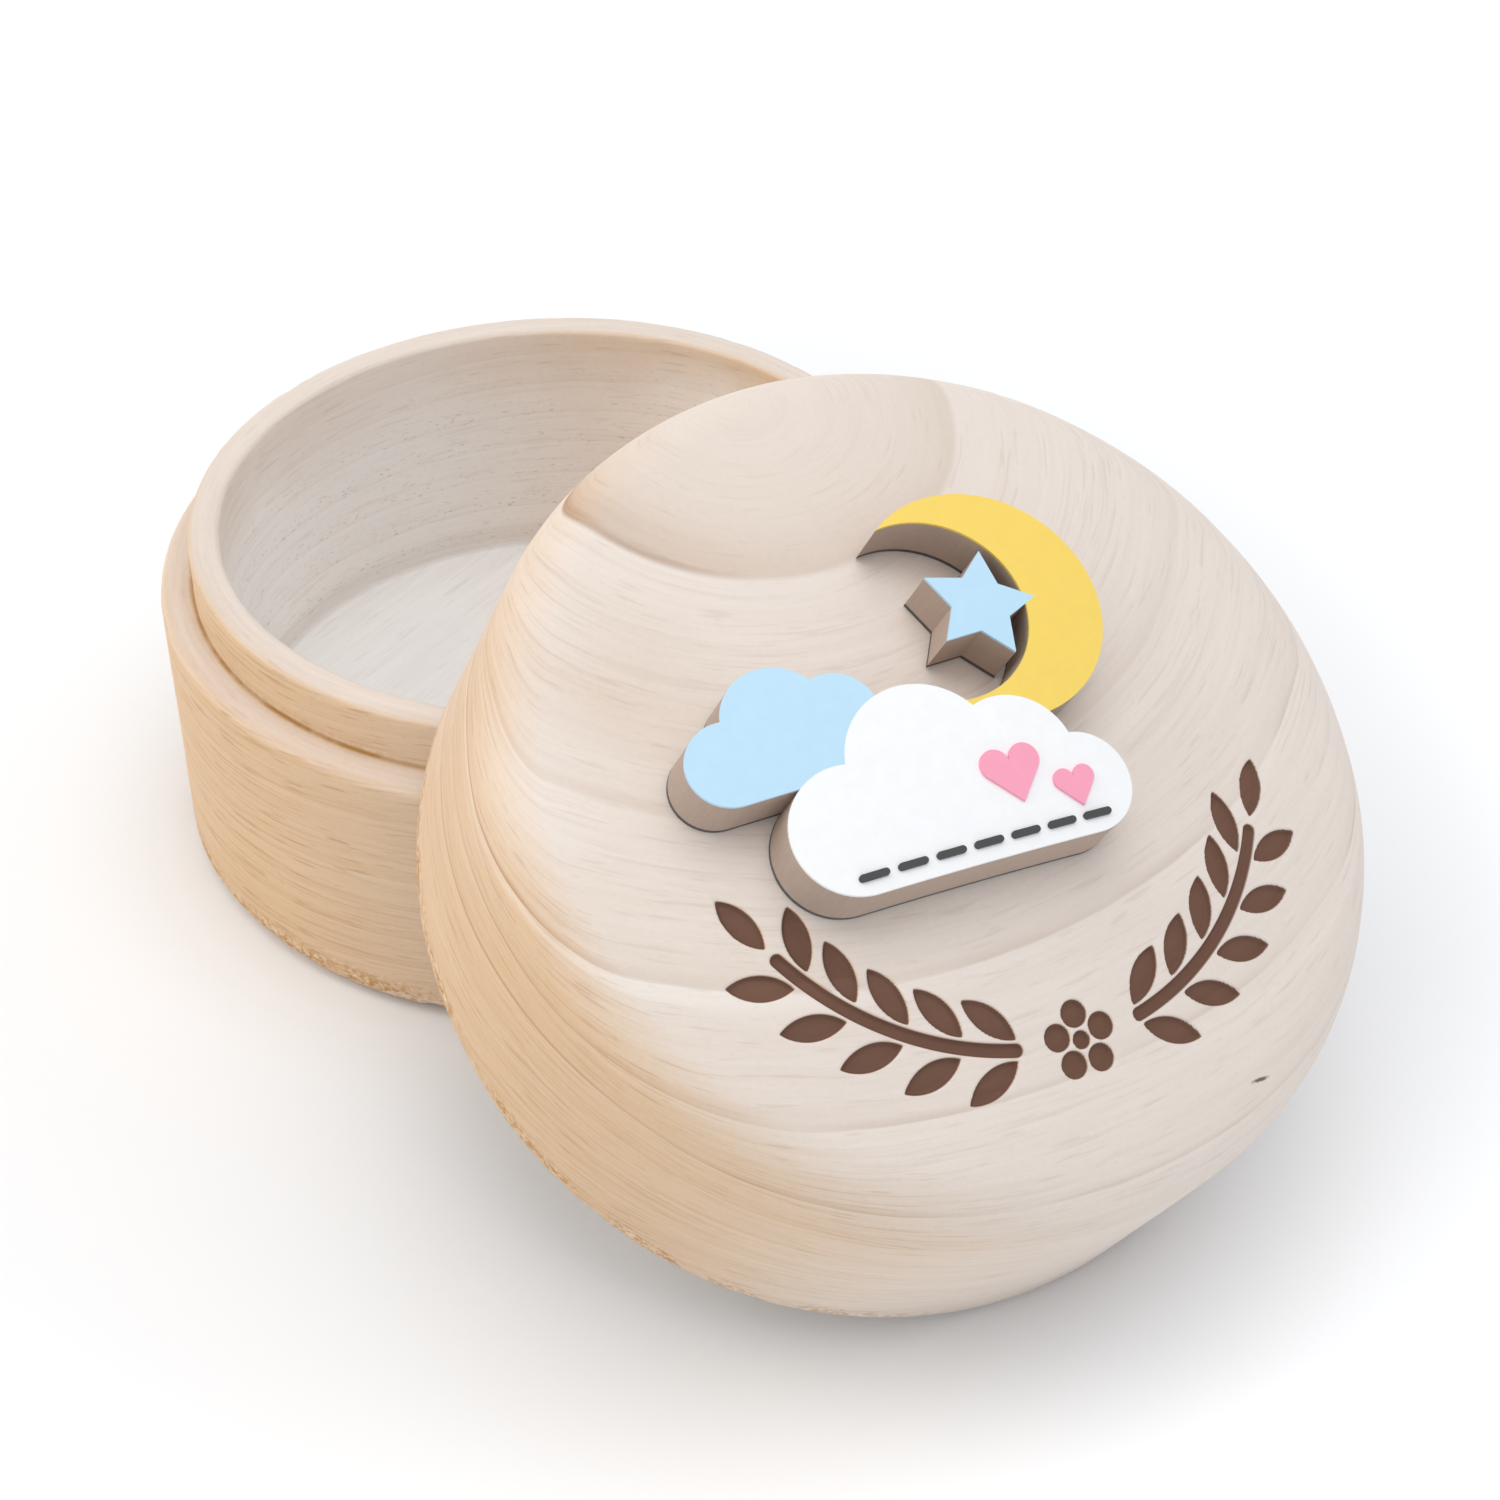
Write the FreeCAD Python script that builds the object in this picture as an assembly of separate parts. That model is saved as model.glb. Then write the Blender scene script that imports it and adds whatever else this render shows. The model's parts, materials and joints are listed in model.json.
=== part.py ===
import FreeCAD, Part
import math
import os

# A turned wooden keepsake box for milk teeth. Its lid is off and leans on the open body, the lid's lower
# edge on the table. A cut-out plaque of board faced with coloured card is glued to the lid's dome.
# Millimetres and degrees, +Z up, origin at the centre of the body's underside, +X the way the lid leans.

# Body, turned from one block
body_radius = 29.3
body_taper = 0.3
foot_round = 1.7
shoulder_height = 21.2
shoulder_round = 0.8
shoulder_width = 2.5
shoulder_rise = 0.3
spigot_height = 4.0
rim_wall = 2.4
rim_round = 0.4
floor_thickness = 5.2
cavity_taper = 0.5
cavity_fillet = 0.5

# Lid, turned from a second block to fit over the body's spigot
lid_overhang = 0.7
lid_wall_height = 17.1
lid_corner_round = 4.9
lid_dome_rise = 3.3
lid_edge_round = 0.8
recess_clearance = 0.35
recess_spare_depth = 0.5
recess_edge_round = 0.3
ledge_width = 2.6
lid_top_thickness = 7.5
hollow_fillet = 4.5

# How the lid leans, and how far above the rim it is held once it is level over the body
lean_grip_share = 0.75
lean_gap = 0.15
hover_gap = 0.8

# Burnt-in sprig on the dome, two branches that meet at a blossom
sprig_radius = 19.4
sprig_depth = 0.35
sprig_first_angle = 13.0
sprig_leaf_step = 10.5
sprig_leaf_pairs = 5
stem_width = 0.75
leaf_length = 4.0
leaf_width = 1.5
leaf_angle = 37.0
leaf_gap = 0.3
petal_count = 5
petal_radius = 0.8
petal_gap = 0.3

# Plaque, laid out with u to the right and v up, then turned and set on the dome
plaque_turn = 81.0
plaque_left = 3.2
plaque_up = 3.4
adhesive_thickness = 0.3
board_thickness = 3.4
facing_thickness = 0.2

# Lobes of a cloud as shares of its width and height: centre across, centre up, radius of the height
cloud_lobe_shares = [(-0.32, 0.34, 0.34), (-0.06, 0.58, 0.42), (0.20, 0.48, 0.34), (0.37, 0.27, 0.27)]

# Front cloud, its base line a drop below the plaque's centre
cloud_width = 22.0
cloud_height = 12.0
cloud_left = 1.0
cloud_drop = 12.0

# Back cloud, half hidden behind the front one and placed from it
back_cloud_width = 14.0
back_cloud_height = 8.0
back_cloud_shift = 8.3
back_cloud_lift = 7.4

# Crescent moon behind the front cloud and placed from it, with a star in its mouth
moon_radius = 8.0
moon_shift = 6.6
moon_lift = 16.0
mouth_radius = 6.3
mouth_offset = 3.5
mouth_angle = 175.0
star_radius = 3.8
star_bite = 0.8
star_waist_share = 0.52

# Hearts and stitches laid on the front cloud, their places as shares of its width and height
heart_widths = [4.0, 2.8]
heart_place_shares = [(0.17, 0.46), (0.34, 0.30)]
heart_height_share = 0.9
stitch_count = 7
stitch_length = 1.5
stitch_width = 0.45
stitch_inset = 1.1

# What every cut and blank runs past the surface it crosses
overrun = 2.0

# Sizes that follow from the ones above
spigot_radius = body_radius - shoulder_width
shoulder_inner_height = shoulder_height + shoulder_rise
rim_height = shoulder_inner_height + spigot_height
cavity_radius = spigot_radius - rim_wall
lid_radius = body_radius + lid_overhang
recess_radius = spigot_radius + recess_clearance
recess_depth = spigot_height + recess_spare_depth
hollow_radius = recess_radius - ledge_width
lid_height = lid_wall_height + lid_corner_round + lid_dome_rise
hollow_depth = lid_height - lid_top_thickness

ORIGIN = FreeCAD.Vector(0, 0, 0)
Y_AXIS = FreeCAD.Vector(0, 1, 0)
Z_AXIS = FreeCAD.Vector(0, 0, 1)


def rounded_outline(corners):
    """Closed wire in the XZ plane through (radius, height, round) corners, each round a tangent arc."""
    points = [FreeCAD.Vector(x, 0, z) for x, z, size in corners]
    ends = []
    edges = []
    for i, (x, z, size) in enumerate(corners):
        here = points[i]
        back = (points[i - 1] - here).normalize()
        ahead = (points[(i + 1) % len(points)] - here).normalize()
        half = back.getAngle(ahead) / 2
        reach = size / math.tan(half)
        start = here + back * reach
        end = here + ahead * reach
        ends.append((start, end))
        if size > 0:
            inward = (back + ahead).normalize()
            middle = here + inward * (size / math.sin(half) - size)
            edges.append(Part.Arc(start, middle, end).toShape())
    for i, (start, end) in enumerate(ends):
        edges.append(Part.LineSegment(end, ends[(i + 1) % len(ends)][0]).toShape())
    return Part.Wire(Part.__sortEdges__(edges))


def turned(wire):
    """Solid made by turning a half section about the Z axis."""
    return Part.Face(wire).revolve(ORIGIN, Z_AXIS, 360)


def make_body():
    """Open round body: near-straight wall, sloped shoulder, spigot for the lid, cavity with a flat floor."""
    foot_radius = body_radius - body_taper
    return turned(rounded_outline([
        (0, 0, 0),
        (foot_radius, 0, foot_round),
        (body_radius, shoulder_height, shoulder_round),
        (spigot_radius, shoulder_inner_height, 0),
        (spigot_radius, rim_height, rim_round),
        (cavity_radius, rim_height, rim_round),
        (cavity_radius - cavity_taper, floor_thickness, cavity_fillet),
        (0, floor_thickness, 0),
    ]))


# The dome is part of a ball that touches the corner round, and the ball's centre is on the lid's axis
corner_centre_radius = lid_radius - lid_corner_round
corner_to_top = lid_corner_round + lid_dome_rise
dome_reach_squared = corner_centre_radius ** 2 + corner_to_top ** 2 - lid_corner_round ** 2
dome_radius = dome_reach_squared / (2 * lid_dome_rise)
dome_centre_height = lid_height - dome_radius
DOME_CENTRE = FreeCAD.Vector(0, 0, dome_centre_height)


def dome_ball(lift):
    """Ball whose surface lies a given distance above the dome."""
    return Part.makeSphere(dome_radius + lift, DOME_CENTRE)


def dome_shell(low, high):
    """Space between two heights above the dome."""
    return dome_ball(high).cut(dome_ball(low))


def make_lid_blank():
    """Lid before the sprig is burnt in: straight wall, rounded corner, dome, stepped hollow below."""
    def line(start, end):
        ends = [FreeCAD.Vector(x, 0, z) for x, z in (start, end)]
        return Part.LineSegment(*ends).toShape()

    def round_at(x, z, size, start, end):
        points = []
        for angle in (start, (start + end) / 2, end):
            turn = math.radians(angle)
            points.append(FreeCAD.Vector(x + size * math.cos(turn), 0, z + size * math.sin(turn)))
        return Part.Arc(*points).toShape()

    corner_rise = math.degrees(math.atan2(lid_wall_height - dome_centre_height, corner_centre_radius))
    edge = lid_edge_round
    lip = recess_edge_round
    flat_radius = hollow_radius - hollow_fillet
    fillet_height = hollow_depth - hollow_fillet
    edges = [
        round_at(lid_radius - edge, edge, edge, -90, 0),
        line((lid_radius, edge), (lid_radius, lid_wall_height)),
        round_at(corner_centre_radius, lid_wall_height, lid_corner_round, 0, corner_rise),
        round_at(0, dome_centre_height, dome_radius, corner_rise, 90),
        line((0, lid_height), (0, hollow_depth)),
        line((0, hollow_depth), (flat_radius, hollow_depth)),
        round_at(flat_radius, fillet_height, hollow_fillet, 90, 0),
        line((hollow_radius, fillet_height), (hollow_radius, recess_depth)),
        line((hollow_radius, recess_depth), (recess_radius, recess_depth)),
        line((recess_radius, recess_depth), (recess_radius, lip)),
        round_at(recess_radius + lip, lip, lip, 180, 270),
        line((recess_radius + lip, 0), (lid_radius - edge, 0)),
    ]
    return turned(Part.Wire(edges))


def upright(face):
    """Prism of a flat outline, from inside the lid's top to clear above everything on it."""
    low = hollow_depth
    high = lid_height + adhesive_thickness + board_thickness + facing_thickness + overrun
    prism = face.extrude(Z_AXIS * (high - low))
    prism.translate(Z_AXIS * low)
    return prism


def disc(u, v, radius):
    """Flat round face."""
    return Part.Face(Part.Wire(Part.makeCircle(radius, FreeCAD.Vector(u, v, 0))))


def joined(faces):
    """One flat face from several that overlap."""
    return faces[0].multiFuse(faces[1:]).removeSplitter().Faces[0]


def polar(radius, angle):
    """Point at a radius and an angle in degrees."""
    turn = math.radians(angle)
    return FreeCAD.Vector(radius * math.cos(turn), radius * math.sin(turn), 0)


def arc_band(centre, radius, width, start, end):
    """Band of a given width along an arc, with round ends."""
    outer = radius + width / 2
    inner = radius - width / 2
    middle = (start + end) / 2
    cap = math.degrees(width / 2 / radius)
    sides = [
        [polar(outer, start), polar(outer, middle), polar(outer, end)],
        [polar(outer, end), polar(radius, end + cap), polar(inner, end)],
        [polar(inner, end), polar(inner, middle), polar(inner, start)],
        [polar(inner, start), polar(radius, start - cap), polar(outer, start)],
    ]
    edges = [Part.Arc(*[centre + point for point in side]).toShape() for side in sides]
    return Part.Face(Part.Wire(edges))


def leaf(root, heading):
    """Pointed leaf that starts at a root and runs the way of a heading in degrees."""
    along = polar(1, heading)
    across = polar(1, heading + 90)
    middle = root + along * (leaf_length / 2)
    tip = root + along * leaf_length
    edges = [
        Part.Arc(root, middle + across * (leaf_width / 2), tip).toShape(),
        Part.Arc(tip, middle - across * (leaf_width / 2), root).toShape(),
    ]
    return Part.Face(Part.Wire(edges))


def sprig_faces():
    """Outlines of the burnt sprig: a blossom at the bottom of the arc and a branch up each side."""
    bottom = -90
    faces = []
    blossom = polar(sprig_radius, bottom)
    petal_ring = (petal_radius + petal_gap / 2) / math.sin(math.pi / petal_count)
    faces.append(disc(blossom.x, blossom.y, petal_ring - petal_radius - petal_gap))
    for i in range(petal_count):
        petal = blossom + polar(petal_ring, 360 * i / petal_count - bottom)
        faces.append(disc(petal.x, petal.y, petal_radius))
    last = sprig_first_angle + (sprig_leaf_pairs - 1) * sprig_leaf_step
    stem_end = last + sprig_leaf_step / 2
    leaf_foot = stem_width / 2 + leaf_gap
    for side in (-1, 1):
        span = sorted([bottom + side * sprig_first_angle, bottom + side * stem_end])
        faces.append(arc_band(ORIGIN, sprig_radius, stem_width, *span))
        for i in range(sprig_leaf_pairs):
            angle = bottom + side * (sprig_first_angle + i * sprig_leaf_step)
            ahead = angle + side * 90
            for edge in (-1, 1):
                root = polar(sprig_radius + edge * leaf_foot, angle)
                faces.append(leaf(root, ahead - side * edge * leaf_angle))
        end_gap = math.degrees((stem_width + leaf_gap) / sprig_radius)
        tip_angle = bottom + side * (stem_end + end_gap)
        faces.append(leaf(polar(sprig_radius, tip_angle), tip_angle + side * 90))
    return faces


def make_lid():
    """Lid with the sprig burnt into its dome."""
    sprig = Part.makeCompound([upright(face) for face in sprig_faces()])
    sprig.rotate(ORIGIN, Z_AXIS, plaque_turn)
    return make_lid_blank().cut(sprig.cut(dome_ball(-sprig_depth)))


def cloud_outline(width, height, u, v):
    """Cloud that stands on a straight base line at height v, its lobes round."""
    faces = []
    for across, up, size in cloud_lobe_shares:
        faces.append(disc(u + across * width, v + up * height, size * height))
    left = cloud_lobe_shares[0][0] * width
    right = cloud_lobe_shares[-1][0] * width
    low_lobe = cloud_lobe_shares[-1][1] * height
    base = Part.makePlane(right - left, low_lobe, FreeCAD.Vector(u + left, v, 0))
    return joined(faces + [base])


def star_outline(centre, first_tip):
    """Five-pointed star with its first tip at an angle in degrees."""
    corners = []
    for i in range(5):
        turn = first_tip + 72 * i
        corners.append(centre + polar(star_radius, turn))
        corners.append(centre + polar(star_radius * star_waist_share, turn + 36))
    return Part.Face(Part.makePolygon(corners + corners[:1]))


def heart_outline(width, u, v):
    """Heart of two round lobes side by side, drawn down to a point along lines that touch them."""
    lobe = width / 4
    drop = width * heart_height_share - lobe
    span = lobe ** 2 + drop ** 2
    touch_u = 2 * lobe * drop ** 2 / span
    touch_v = 2 * drop * lobe ** 2 / span
    corners = [(0, -drop), (touch_u, -touch_v), (lobe, 0), (-lobe, 0), (-touch_u, -touch_v), (0, -drop)]
    wedge = Part.Face(Part.makePolygon([FreeCAD.Vector(u + x, v + y, 0) for x, y in corners]))
    return joined([disc(u - lobe, v, lobe), disc(u + lobe, v, lobe), wedge])


def stitch_outlines():
    """Row of short dashes with round ends along the front cloud's base line."""
    first = cloud_lobe_shares[0][0] * cloud_width - cloud_left
    last = cloud_lobe_shares[-1][0] * cloud_width - cloud_left
    level = stitch_inset - cloud_drop
    faces = []
    for i in range(stitch_count):
        middle = first + (last - first) * i / (stitch_count - 1)
        corner = FreeCAD.Vector(middle - stitch_length / 2, level - stitch_width / 2, 0)
        dash = Part.makePlane(stitch_length, stitch_width, corner)
        ends = [disc(middle + side * stitch_length / 2, level, stitch_width / 2) for side in (-1, 1)]
        faces.append(joined([dash] + ends))
    return faces


def plaque_outlines():
    """Flat outlines of the plaque's layers by name, each motif cut back by what lies in front of it."""
    front = cloud_outline(cloud_width, cloud_height, -cloud_left, -cloud_drop)
    back_left = cloud_left + back_cloud_shift
    back = cloud_outline(back_cloud_width, back_cloud_height, -back_left, back_cloud_lift - cloud_drop)
    moon_at = FreeCAD.Vector(moon_shift - cloud_left, moon_lift - cloud_drop, 0)
    mouth_at = moon_at + polar(mouth_offset, mouth_angle)
    mouth = disc(mouth_at.x, mouth_at.y, mouth_radius)
    moon = disc(moon_at.x, moon_at.y, moon_radius).cut(mouth).Faces[0]
    star_at = mouth_at - polar(mouth_radius + star_bite - star_radius, mouth_angle)
    star = star_outline(star_at, mouth_angle + 180)
    hearts = []
    for width, (across, up) in zip(heart_widths, heart_place_shares):
        u = across * cloud_width - cloud_left
        v = up * cloud_height - cloud_drop
        hearts.append(heart_outline(width, u, v))
    return {
        "board": [joined([front, back, moon, star])],
        "front_cloud": [front],
        "back_cloud": back.cut(front).Faces,
        "moon": moon.cut([front, back, star]).Faces,
        "star": star.cut([front, back]).Faces,
        "hearts": hearts,
        "stitches": stitch_outlines(),
    }


def layer(faces, low, high):
    """Solids of a plaque layer: its outlines set on the dome between two heights above it."""
    prisms = Part.makeCompound([upright(face) for face in faces])
    prisms.translate(FreeCAD.Vector(-plaque_left, plaque_up, 0))
    prisms.rotate(ORIGIN, Z_AXIS, plaque_turn)
    return Part.makeCompound(prisms.common(dome_shell(low, high)).Solids)


def make_plaque():
    """Plaque on the level lid: adhesive, cut-out board, card facings, small card shapes on the cloud."""
    outlines = plaque_outlines()
    board_low = adhesive_thickness
    board_high = board_low + board_thickness
    facing_high = board_high + facing_thickness
    trim_high = facing_high + facing_thickness
    return {
        "plaque_adhesive": layer(outlines["board"], 0, board_low),
        "plaque_board": layer(outlines["board"], board_low, board_high),
        "front_cloud_facing": layer(outlines["front_cloud"], board_high, facing_high),
        "back_cloud_facing": layer(outlines["back_cloud"], board_high, facing_high),
        "moon_facing": layer(outlines["moon"], board_high, facing_high),
        "star_facing": layer(outlines["star"], board_high, facing_high),
        "heart_facings": layer(outlines["hearts"], facing_high, trim_high),
        "stitch_facings": layer(outlines["stitches"], facing_high, trim_high),
    }


# The lid leans with its lower edge on the table and its recess edge hooked on the rim of the spigot, where
# that rim crosses the recess a share of the recess's radius up from the lid's axis
grip = lean_grip_share * recess_radius
edge_centre = lid_radius - lid_edge_round
lean_arm = edge_centre + grip
lean = math.asin((rim_height - lid_edge_round) / math.hypot(lean_arm, lid_edge_round))
lean += math.atan2(lid_edge_round, lean_arm)
lean_height = rim_height - grip * math.sin(lean)
rim_crossing = math.sqrt(grip ** 2 - recess_radius ** 2 + spigot_radius ** 2)
lean_reach = rim_crossing + grip * math.cos(lean) + lean_gap
LEANING = FreeCAD.Placement(FreeCAD.Vector(lean_reach, 0, lean_height),
                            FreeCAD.Rotation(Y_AXIS, math.degrees(lean)))

# One turn about a level axis under the table carries the leaning lid to level, just above the spigot's rim
rise = rim_height + hover_gap - lean_height
half_turn = math.tan(lean / 2)
swing_axis_x = lean_reach / 2 - rise / (2 * half_turn)
swing_axis_z = lean_height + rise / 2 - lean_reach / (2 * half_turn)

pieces = {"box_body": make_body(), "lid": make_lid()}
pieces.update(make_plaque())

os.makedirs("parts", exist_ok=True)
for name, shape in pieces.items():
    if name != "box_body":
        shape.Placement = LEANING.multiply(shape.Placement)
    shape.exportStep("parts/" + name + ".step")
    state = "valid" if shape.isValid() else "NOT VALID"
    print(name, state, len(shape.Solids), "solids", round(shape.Volume, 2), "mm3")
print("lid leans", math.degrees(lean), "degrees, rim centre at x", lean_reach, "z", lean_height)
print("swing axis along -Y through x", swing_axis_x, "z", swing_axis_z)
print("dome radius", dome_radius, "lid height", lid_height)
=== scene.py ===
import json
import math

import bmesh
import bpy
import numpy as np
from mathutils import Matrix, Vector


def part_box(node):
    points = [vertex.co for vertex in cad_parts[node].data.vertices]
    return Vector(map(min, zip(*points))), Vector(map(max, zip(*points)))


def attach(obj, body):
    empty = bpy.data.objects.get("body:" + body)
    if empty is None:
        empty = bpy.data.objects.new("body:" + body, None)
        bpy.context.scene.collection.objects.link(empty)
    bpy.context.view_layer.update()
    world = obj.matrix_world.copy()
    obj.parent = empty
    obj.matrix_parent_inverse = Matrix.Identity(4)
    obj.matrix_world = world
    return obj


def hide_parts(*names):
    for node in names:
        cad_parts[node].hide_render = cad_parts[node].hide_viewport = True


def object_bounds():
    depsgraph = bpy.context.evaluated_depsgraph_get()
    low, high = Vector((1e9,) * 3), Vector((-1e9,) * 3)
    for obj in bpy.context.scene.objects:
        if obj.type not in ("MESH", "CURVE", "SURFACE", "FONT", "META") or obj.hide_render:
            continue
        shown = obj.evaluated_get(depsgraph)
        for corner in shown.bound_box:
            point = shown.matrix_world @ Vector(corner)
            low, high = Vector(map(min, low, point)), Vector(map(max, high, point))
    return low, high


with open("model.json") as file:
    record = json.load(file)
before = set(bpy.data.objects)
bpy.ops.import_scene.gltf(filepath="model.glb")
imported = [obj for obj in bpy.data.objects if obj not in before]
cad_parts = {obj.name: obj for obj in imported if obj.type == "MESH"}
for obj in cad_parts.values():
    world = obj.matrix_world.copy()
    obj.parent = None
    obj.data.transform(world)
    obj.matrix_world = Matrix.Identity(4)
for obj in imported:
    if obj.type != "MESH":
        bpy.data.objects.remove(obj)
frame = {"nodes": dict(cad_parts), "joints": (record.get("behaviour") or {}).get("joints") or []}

cad_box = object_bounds()


# Body of the box: a round cup turned on a lathe from one block of pale wood, sanded and left bare.
# Its wall steps in over a sloped shoulder to a short spigot under the lid. The floor inside is flat.
# Sizes are in millimetres, and become metres as the mesh is made.

MM = 0.001
body_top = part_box("box_body")[1].z
rim_height = body_top / MM
body_radius = 29.3
body_foot_radius = 29.0
body_foot_round = 1.7
shoulder_height = 21.2
shoulder_round = 0.8
spigot_radius = 26.8
spigot_foot_height = 21.5
rim_wall = 2.4
rim_round = 0.4
hollow_rim_radius = spigot_radius - rim_wall
hollow_floor = 5.2
hollow_foot_radius = 23.9
hollow_foot_round = 0.5
body_mesh_step = 0.6
body_heading_step = 0.75
body_headings = np.radians(np.arange(0, 360, body_heading_step))

body_corners = [
    (0, 0, 0),
    (body_foot_radius, 0, body_foot_round),
    (body_radius, shoulder_height, shoulder_round),
    (spigot_radius, spigot_foot_height, 0),
    (spigot_radius, rim_height, rim_round),
    (hollow_rim_radius, rim_height, rim_round),
    (hollow_foot_radius, hollow_floor, hollow_foot_round),
    (0, hollow_floor, 0),
]


def spaced(path, step):
    """Points of a path of straight runs, with more added so that none is over a step from the next."""
    points = []
    for start, end in zip(path, path[1:]):
        count = max(1, math.ceil((end - start).length / step))
        points += [start.lerp(end, i / count) for i in range(count)]
    return points + path[-1:]


def bend(centre, radius, start, end, step):
    """Points along an arc of a half section, from one angle to another in degrees."""
    count = max(3, math.ceil(abs(math.radians(end - start)) * radius / step))
    turns = np.radians(np.linspace(start, end, count + 1))
    return [centre + radius * Vector((math.cos(turn), math.sin(turn))) for turn in turns]


def rounded_section(corners, step):
    """Half section through (radius, height, round) corners, each round an arc that touches both sides."""
    places = [Vector((radius, height)) for radius, height, size in corners]
    path = places[:1]
    for before, here, after, corner in zip(places, places[1:], places[2:], corners[1:]):
        size = corner[2]
        if size == 0:
            path.append(here)
            continue
        back = (before - here).normalized()
        ahead = (after - here).normalized()
        half = back.angle(ahead) / 2
        centre = here + (back + ahead).normalized() * (size / math.sin(half))
        start = here + back * (size / math.tan(half)) - centre
        end = here + ahead * (size / math.tan(half)) - centre
        first = math.degrees(math.atan2(start.y, start.x))
        turn = math.degrees(start.angle_signed(end))
        path += bend(centre, size, first, first - turn, step / 2)
    return spaced(path + places[-1:], step)


def turned_points(section, headings):
    """Points of a turned shape with their outward normals, ring after ring of a half section."""
    section = np.array(section)
    along = np.gradient(section, axis=0)
    along /= np.linalg.norm(along, axis=1)[:, None]
    around = np.stack([np.cos(headings), np.sin(headings)], axis=1)
    points = np.empty((len(section), len(headings), 3))
    normals = np.empty_like(points)
    points[:, :, :2] = section[:, None, :1] * around
    points[:, :, 2] = section[:, 1:]
    normals[:, :, :2] = along[:, None, 1:] * around
    normals[:, :, 2] = -along[:, :1]
    return points.reshape(-1, 3), normals.reshape(-1, 3)


def unevenness(points, seed, wave):
    """Smooth random height, about -1 to 1, with humps about a wave long."""
    ripple_count = 14
    full_height = 2.2
    chance = np.random.default_rng(seed)
    ripples = chance.normal(size=(3, ripple_count)) * (2 * math.pi / wave / math.sqrt(3))
    starts = chance.uniform(0, 2 * math.pi, ripple_count)
    return np.sin(points @ ripples + starts).mean(axis=1) * full_height


def hand_sanded(points, normals, seed):
    """Points of a turned shape after sanding by hand, which takes off a little more in some places."""
    long_hump = 0.05 * (1 + unevenness(points, seed, wave=16))
    short_hump = 0.012 * (1 + unevenness(points, seed + 1, wave=3.5))
    return points - normals * np.maximum(long_hump + short_hump, 0)[:, None]


def nicked(points, normals, seed, radius, height, count=40, depth=0.12, reach=0.45):
    """Points with small dents along an edge at a radius and a height."""
    chance = np.random.default_rng(seed)
    for turn in chance.uniform(0, 2 * math.pi, count):
        size = reach * chance.uniform(0.6, 1.5)
        middle = np.array([radius * math.cos(turn), radius * math.sin(turn), height])
        apart = np.linalg.norm(points - middle, axis=1)
        near = apart < 3 * size
        dent = depth * chance.uniform(0.3, 1) * np.exp(-(apart[near] / size) ** 2)
        points[near] -= normals[near] * dent[:, None]
    return points


def turned_piece(name, points, rings, place):
    """Mesh object from the points of a turned shape whose first and last rings lie on the axis."""
    count = len(points) // rings
    here = np.arange(count)
    ahead = (here + 1) % count
    starts = np.arange(rings - 1)[:, None] * count
    quads = np.stack([starts + here, starts + ahead, starts + count + ahead, starts + count + here], axis=2)
    mesh = bpy.data.meshes.new(name)
    world = np.array(place)
    metres = points * MM @ world[:3, :3].T + world[:3, 3]
    mesh.from_pydata(metres.tolist(), [], quads.reshape(-1, 4).tolist())
    mesh.polygons.foreach_set("use_smooth", np.ones(len(mesh.polygons), bool))
    mesh.update()
    piece = bpy.data.objects.new(name, mesh)
    bpy.context.scene.collection.objects.link(piece)
    return piece


def closed_at_axis(piece):
    """Joins the points of each end ring, which all lie on the axis, into one."""
    work = bmesh.new()
    work.from_mesh(piece.data)
    bmesh.ops.remove_doubles(work, verts=work.verts, dist=0.001 * MM)
    work.to_mesh(piece.data)
    work.free()


body_section = rounded_section(body_corners, body_mesh_step)
body_points, body_normals = turned_points(body_section, body_headings)
foot_nick_radius = body_foot_radius - 0.4
foot_nick_height = 0.5
foot_nick_count = 110
foot_nick_depth = 0.22
rim_nick_depth = 0.07
body_points = hand_sanded(body_points, body_normals, 11)
body_points = nicked(body_points, body_normals, 12, foot_nick_radius, foot_nick_height,
                     foot_nick_count, foot_nick_depth)
body_points = nicked(body_points, body_normals, 13, spigot_radius, rim_height, depth=rim_nick_depth)
body_points = nicked(body_points, body_normals, 14, hollow_rim_radius, rim_height, depth=rim_nick_depth)
body = turned_piece("body", body_points, len(body_section), Matrix.Identity(4))
closed_at_axis(body)


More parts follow.
